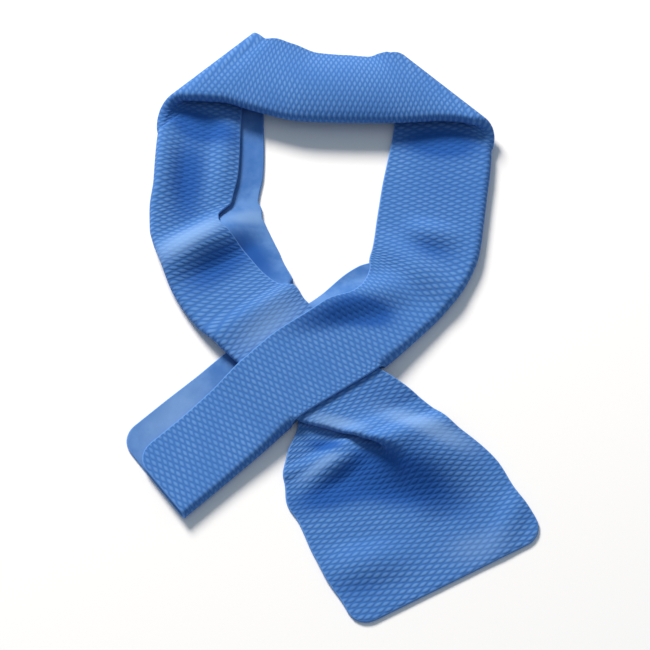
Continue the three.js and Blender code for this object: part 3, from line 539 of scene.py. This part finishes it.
class Nodes:
    """Short ways to make and join the shader nodes of one material."""

    def __init__(self, material):
        material.use_nodes = True
        self.tree = material.node_tree
        self.tree.nodes.clear()

    def new(self, kind, **settings):
        node = self.tree.nodes.new(kind)
        for name, value in settings.items():
            setattr(node, name, value)
        return node

    def put(self, value, socket):
        """Joins a socket to another one, or sets it to a value."""
        if isinstance(value, bpy.types.NodeSocket):
            self.tree.links.new(value, socket)
        else:
            socket.default_value = value

    def attribute(self, name, output):
        return self.new("ShaderNodeAttribute", attribute_name=name).outputs[output]

    def math(self, operation, a, b=0.0):
        node = self.new("ShaderNodeMath", operation=operation)
        self.put(a, node.inputs[0])
        self.put(b, node.inputs[1])
        return node.outputs[0]

    def noise(self, vector, scale, detail=2.0, roughness=0.5):
        node = self.new("ShaderNodeTexNoise")
        self.put(vector, node.inputs["Vector"])
        node.inputs["Scale"].default_value = scale
        node.inputs["Detail"].default_value = detail
        node.inputs["Roughness"].default_value = roughness
        return node.outputs[0]

    def pores(self, vector, scale):
        return self.noise(vector, scale, detail=3.0, roughness=0.6)

    def mix(self, share, a, b):
        """Colour a where the share is 0 and b where it is 1."""
        node = self.new("ShaderNodeMix", data_type="RGBA")
        self.put(share, node.inputs[0])
        self.put(a, node.inputs[6])
        self.put(b, node.inputs[7])
        return node.outputs[2]

    def ramp(self, value, low, high):
        """From 0 at low to 1 at high, with a soft start and end."""
        node = self.new("ShaderNodeMapRange", interpolation_type="SMOOTHSTEP")
        self.put(value, node.inputs[0])
        node.inputs[1].default_value = low
        node.inputs[2].default_value = high
        return node.outputs[0]

    def bump(self, height, distance):
        node = self.new("ShaderNodeBump")
        self.put(height, node.inputs["Height"])
        node.inputs["Distance"].default_value = distance
        node.inputs["Strength"].default_value = 1.0
        return node.outputs[0]

    def toned(self, color, name, settings):
        """Colour with the places drawn flat by stretch (paler, partly a painted highlight) and the painted
        shade laid over it, by a tone that goes from 1 to -1, and the share to which a place is drawn flat by
        stretch."""
        tone = self.attribute(name, "Fac")
        below = self.math("MULTIPLY", tone, -1.0)
        stretched_and_highlighted = self.math("MULTIPLY", self.ramp(tone, 0.0, 1.0), STRETCH_AND_HIGHLIGHT_SHARE)
        # Painted shade: below 0 the tone darkens the colour towards the painted shade colour.
        painted_shade = self.math("MULTIPLY", self.ramp(below, 0.0, 1.0), PAINTED_SHADE_SHARE)
        color = self.mix(stretched_and_highlighted, color, settings.stretched_and_highlighted_color)
        return self.mix(painted_shade, color, settings.painted_shade_color), stretched_and_highlighted

    def cloth(self, color, normal):
        node = self.new("ShaderNodeBsdfPrincipled")
        self.put(color, node.inputs["Base Color"])
        self.put(normal, node.inputs["Normal"])
        node.inputs["Roughness"].default_value = CLOTH_ROUGHNESS
        node.inputs["Specular IOR Level"].default_value = CLOTH_SPECULAR
        node.inputs["Sheen Weight"].default_value = SHEEN_WEIGHT
        node.inputs["Sheen Roughness"].default_value = SHEEN_ROUGHNESS
        self.put(node.outputs[0], self.new("ShaderNodeOutputMaterial").inputs[0])


def outside_cloth(settings):
    """Embossed outside: a net of diamonds, long across the strip, with a thin groove between neighbours.
    The height is the sum of two cosines of the place on the flat strip, one along and one across, without
    its sign, so that it is 0 along the grooves. Grooves are painted darker than the tops, painted shade in
    the recesses, over a faint blotchy tint."""
    material = bpy.data.materials.new("embossed_cloth")
    nodes = Nodes(material)
    place = nodes.attribute("strip_place", "Vector")
    wobble = nodes.math("SUBTRACT", nodes.noise(place, WOBBLE_SCALE), 0.5)
    shift = nodes.math("MULTIPLY", wobble, settings.grain_wobble)
    split = nodes.new("ShaderNodeSeparateXYZ")
    nodes.put(place, split.inputs[0])
    waves = []
    for way, pitch in zip(split.outputs, (settings.grain_width, settings.grain_length)):
        angle = nodes.math("MULTIPLY", nodes.math("ADD", way, shift), 2 * math.pi / pitch)
        waves.append(nodes.math("COSINE", angle))
    net = nodes.math("ABSOLUTE", nodes.math("MULTIPLY", nodes.math("ADD", *waves), 0.5))
    top = nodes.ramp(net, GROOVE_FLOOR, 1.0)

    blotch = nodes.ramp(nodes.noise(place, BLOTCH_SCALE, detail=3.0), *BLOTCH_EDGES)
    base = nodes.mix(blotch, settings.cloth_color, settings.cloth_color_pale)
    # Painted shade: the grooves take a darker colour than the tops.
    color = nodes.mix(top, settings.groove_shade_color, base)
    # Painted light: paler on ridges, partly a painted highlight, and painted shade in dips; the embossing
    # fades with the stretch.
    color, stretched_and_highlighted = nodes.toned(color, "outside_stretch_and_painted_light", settings)
    pores = nodes.math("MULTIPLY", nodes.pores(place, PORE_SCALE), PORE_SHARE)
    left = nodes.math("SUBTRACT", 1.0, stretched_and_highlighted)
    height = nodes.math("MULTIPLY", nodes.math("ADD", top, pores), left)
    nodes.cloth(color, nodes.bump(height, settings.grain_height))
    return material


def inside_cloth(settings):
    """Smooth inside: blotchy, with fine pores and no embossing."""
    material = bpy.data.materials.new("smooth_cloth")
    nodes = Nodes(material)
    place = nodes.attribute("strip_place", "Vector")
    noise = nodes.noise(place, INSIDE_BLOTCH_SCALE, detail=4.0, roughness=0.55)
    blotch = nodes.ramp(noise, *INSIDE_BLOTCH_EDGES)
    color = nodes.mix(blotch, settings.inside_color, settings.inside_color_pale)
    # Painted light on the inside: paler patches partly a painted highlight, and painted shade in dips.
    color = nodes.toned(color, "inside_stretch_and_painted_light", settings)[0]
    nodes.cloth(color, nodes.bump(nodes.pores(place, INSIDE_PORE_SCALE), PORE_DEPTH))
    return material


def edge_cloth(settings):
    """Cut edge: painted paler than the faces as a painted highlight, with fine pores."""
    material = bpy.data.materials.new("cut_edge")
    nodes = Nodes(material)
    place = nodes.new("ShaderNodeTexCoord").outputs["Object"]
    pores = nodes.pores(place, EDGE_PORE_SCALE)
    color = nodes.mix(pores, settings.inside_color, settings.edge_highlight_color)
    nodes.cloth(color, nodes.bump(pores, PORE_DEPTH))
    return material


class WrapSettings(PropertyGroup):
    """Sizes and colours of the cloth"""

    strip_width: FloatProperty(
        name="Strip width",
        description="Width of the open strip",
        default=0.125,
        unit="LENGTH",
    )
    wall: FloatProperty(
        name="Cloth thickness",
        description="Thickness of the cloth",
        default=0.0018,
        unit="LENGTH",
    )
    corner_radius: FloatProperty(
        name="Corner radius",
        description="Rounding of the strip's four corners",
        default=0.012,
        unit="LENGTH",
    )
    grain_width: FloatProperty(
        name="Grain pitch along",
        description="Pitch of the embossed grains along the strip",
        default=0.00375,
        unit="LENGTH",
    )
    grain_length: FloatProperty(
        name="Grain pitch across",
        description="Pitch of the embossed grains across the strip",
        default=0.0083,
        unit="LENGTH",
    )
    grain_height: FloatProperty(
        name="Grain height",
        description="Depth of the embossing",
        default=0.00025,
        unit="LENGTH",
    )
    grain_wobble: FloatProperty(
        name="Grain wobble",
        description="How far the grains stray from their even places",
        default=0.0012,
        unit="LENGTH",
    )
    cloth_color: FloatVectorProperty(
        name="Cloth",
        description="Tops of the embossed grains",
        subtype="COLOR",
        size=4,
        default=(0.085, 0.225, 0.54, 1),
    )
    cloth_color_pale: FloatVectorProperty(
        name="Cloth, pale",
        description="Paler patches of the outside",
        subtype="COLOR",
        size=4,
        default=(0.115, 0.268, 0.585, 1),
    )
    # Painted shade in the grooves between the grains.
    groove_shade_color: FloatVectorProperty(
        name="Grooves",
        description="Between the embossed grains",
        subtype="COLOR",
        size=4,
        default=(0.044, 0.155, 0.45, 1),
    )
    inside_color: FloatVectorProperty(
        name="Inside",
        description="Smooth inner side",
        subtype="COLOR",
        size=4,
        default=(0.055, 0.17, 0.46, 1),
    )
    inside_color_pale: FloatVectorProperty(
        name="Inside, pale",
        description="Paler patches of the inside",
        subtype="COLOR",
        size=4,
        default=(0.11, 0.25, 0.56, 1),
    )
    # Painted highlight along the cut edge.
    edge_highlight_color: FloatVectorProperty(
        name="Cut edge",
        description="Pale cut edge",
        subtype="COLOR",
        size=4,
        default=(0.14, 0.33, 0.74, 1),
    )
    # Paler where the cloth is drawn flat by stretch, partly a painted highlight on ridges that face the
    # light.
    stretched_and_highlighted_color: FloatVectorProperty(
        name="Stretched",
        description="Pale places where the cloth is stretched flat",
        subtype="COLOR",
        size=4,
        default=(0.19, 0.34, 0.62, 1),
    )
    # Painted shade in dips, creases and under the top band.
    painted_shade_color: FloatVectorProperty(
        name="Creased",
        description="Deep, damp places in dips and creases",
        subtype="COLOR",
        size=4,
        default=(0.011, 0.088, 0.36, 1),
    )


class StageSettings(PropertyGroup):
    """Camera, lights and floor"""

    camera_distance: FloatProperty(
        name="Camera distance",
        description="From the camera to the point it looks at",
        default=1.5,
        unit="LENGTH",
    )
    camera_elevation: FloatProperty(
        name="Camera elevation",
        description="Angle of the camera above the floor",
        default=math.radians(62),
        subtype="ANGLE",
    )
    camera_lens: FloatProperty(name="Lens", description="Focal length in millimetres", default=132.1)
    camera_target: FloatVectorProperty(
        name="Camera target",
        description="Point that the camera looks at",
        size=3,
        subtype="XYZ",
        unit="LENGTH",
        default=(-0.003472, -0.009157, 0.0),
    )
    key_power: FloatProperty(
        name="Key light",
        description="Power of the soft key light",
        default=265.0,
        unit="POWER",
    )
    key_color: FloatVectorProperty(
        name="Key colour",
        description="Slightly warm key light",
        subtype="COLOR",
        size=3,
        default=(1, 0.93, 0.86),
    )
    sky_color: FloatVectorProperty(
        name="Surround colour",
        description="Cool light from all round",
        subtype="COLOR",
        size=3,
        default=(0.72, 0.86, 1),
    )
    fill_power: FloatProperty(
        name="Fill light",
        description="Power of the overhead fill",
        default=1.5,
        unit="POWER",
    )
    sky_strength: FloatProperty(name="Surround", description="Brightness of the surround", default=0.33)
    floor_color: FloatVectorProperty(
        name="Floor",
        description="Colour of the floor",
        subtype="COLOR",
        size=4,
        default=(0.93, 0.93, 0.93, 1),
    )


class OBJECT_OT_neck_wrap_cloth(Operator):
    """Lay the strip of cloth: fold, loop, slit, pleat and tail"""

    bl_idname = "object.neck_wrap_cloth"
    bl_label = "Lay the cloth"

    def execute(self, context):
        settings = context.scene.neck_wrap
        strip = Strip(settings.strip_width, settings.wall)
        *surface, length = middle_surface(strip, settings.corner_radius)
        vertices, carried, quads, finish_of = thickened(*surface, settings.wall)
        low, high = vertices.min(axis=0), vertices.max(axis=0)
        vertices = vertices - [(low[0] + high[0]) / 2, (low[1] + high[1]) / 2, low[2]]
        materials = [outside_cloth(settings), inside_cloth(settings), edge_cloth(settings)]
        cloth = mesh_object(CLOTH_PIECE, vertices, quads, finish_of, materials)
        places = np.pad(carried[:, :2], ((0, 0), (0, 1))).astype(np.float32)
        attribute = cloth.data.attributes.new("strip_place", "FLOAT_VECTOR", "POINT")
        attribute.data.foreach_set("vector", places.ravel())
        # The tones are painted light and stretch, one attribute for each side.
        for name, tones in zip(("outside_stretch_and_painted_light", "inside_stretch_and_painted_light"), carried[:, 2:].T):
            attribute = cloth.data.attributes.new(name, "FLOAT", "POINT")
            attribute.data.foreach_set("value", tones.astype(np.float32))
        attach(cloth, BODY)
        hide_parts(CAD_NODE)
        return {"FINISHED"}


class OBJECT_OT_neck_wrap_stage(Operator):
    """Set up the pale floor, the soft lights and the camera"""

    bl_idname = "object.neck_wrap_stage"
    bl_label = "Set the stage"

    def execute(self, context):
        settings = context.scene.neck_wrap_stage
        self.floor(settings)
        self.lights(settings)
        self.camera(context, settings)
        context.scene.view_settings.view_transform = "Standard"
        return {"FINISHED"}

    def floor(self, settings):
        square = np.array([[-1, -1], [1, -1], [1, 1], [-1, 1]]) * FLOOR_HALF
        corners = np.pad(square, ((0, 0), (0, 1)), constant_values=-FLOOR_DROP)
        material = bpy.data.materials.new("studio_floor")
        nodes = Nodes(material)
        shader = nodes.new("ShaderNodeBsdfPrincipled")
        shader.inputs["Base Color"].default_value = settings.floor_color
        shader.inputs["Roughness"].default_value = FLOOR_ROUGHNESS
        nodes.put(shader.outputs[0], nodes.new("ShaderNodeOutputMaterial").inputs[0])
        floor = mesh_object("studio_floor", corners, np.array([[0, 1, 2, 3]]), np.array([0]), [material])

    def light(self, name, size, power, place, color):
        """A round soft light that points at the middle of the wrap."""
        lamp = bpy.data.lights.new(name, "AREA")
        lamp.shape, lamp.size, lamp.energy, lamp.color = "DISK", size, power, color
        made = bpy.data.objects.new(name, lamp)
        bpy.context.scene.collection.objects.link(made)
        made.location = place
        made.rotation_euler = (-Vector(place)).to_track_quat("-Z", "Y").to_euler()

    def lights(self, settings):
        self.light("key_light", KEY_SIZE, settings.key_power, KEY_PLACE, settings.key_color)
        self.light("fill_light", FILL_SIZE, settings.fill_power, FILL_PLACE, FILL_COLOR)
        world = bpy.data.worlds.new("studio_surround")
        world.use_nodes = True
        surround = world.node_tree.nodes["Background"]
        surround.inputs["Color"].default_value = (*settings.sky_color, 1)
        surround.inputs["Strength"].default_value = settings.sky_strength
        bpy.context.scene.world = world

    def camera(self, context, settings):
        data = bpy.data.cameras.new("camera")
        data.lens, data.sensor_width = settings.camera_lens, SENSOR_WIDTH
        data.clip_start, data.clip_end = CAMERA_NEAREST, CAMERA_FARTHEST
        made = bpy.data.objects.new("camera", data)
        context.scene.collection.objects.link(made)
        back = Vector((0, -math.cos(settings.camera_elevation), math.sin(settings.camera_elevation)))
        made.location = Vector(settings.camera_target) + back * settings.camera_distance
        made.rotation_euler = (math.pi / 2 - settings.camera_elevation, 0, 0)
        context.scene.camera = made


class VIEW3D_PT_neck_wrap(Panel):
    """Sizes, colours and pieces of the neck wrap"""

    bl_label = "Neck wrap"
    bl_idname = "VIEW3D_PT_neck_wrap"
    bl_space_type = "VIEW_3D"
    bl_region_type = "UI"
    bl_category = "Neck wrap"

    def draw(self, context):
        for group in (context.scene.neck_wrap, context.scene.neck_wrap_stage):
            for name in group.bl_rna.properties.keys():
                if name not in ("rna_type", "name"):
                    self.layout.prop(group, name)
        self.layout.operator(OBJECT_OT_neck_wrap_cloth.bl_idname)
        self.layout.operator(OBJECT_OT_neck_wrap_stage.bl_idname)


CLASSES = (
    WrapSettings,
    StageSettings,
    OBJECT_OT_neck_wrap_cloth,
    OBJECT_OT_neck_wrap_stage,
    VIEW3D_PT_neck_wrap,
)


def register():
    for cls in CLASSES:
        bpy.utils.register_class(cls)
    bpy.types.Scene.neck_wrap = PointerProperty(type=WrapSettings)
    bpy.types.Scene.neck_wrap_stage = PointerProperty(type=StageSettings)


def unregister():
    del bpy.types.Scene.neck_wrap_stage
    del bpy.types.Scene.neck_wrap
    for cls in reversed(CLASSES):
        bpy.utils.unregister_class(cls)


def main():
    """Registers the add-on, sets the stage and lays the cloth."""
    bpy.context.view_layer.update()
    register()
    bpy.ops.object.neck_wrap_stage()
    bpy.ops.object.neck_wrap_cloth()


if __name__ == "__main__":
    main()
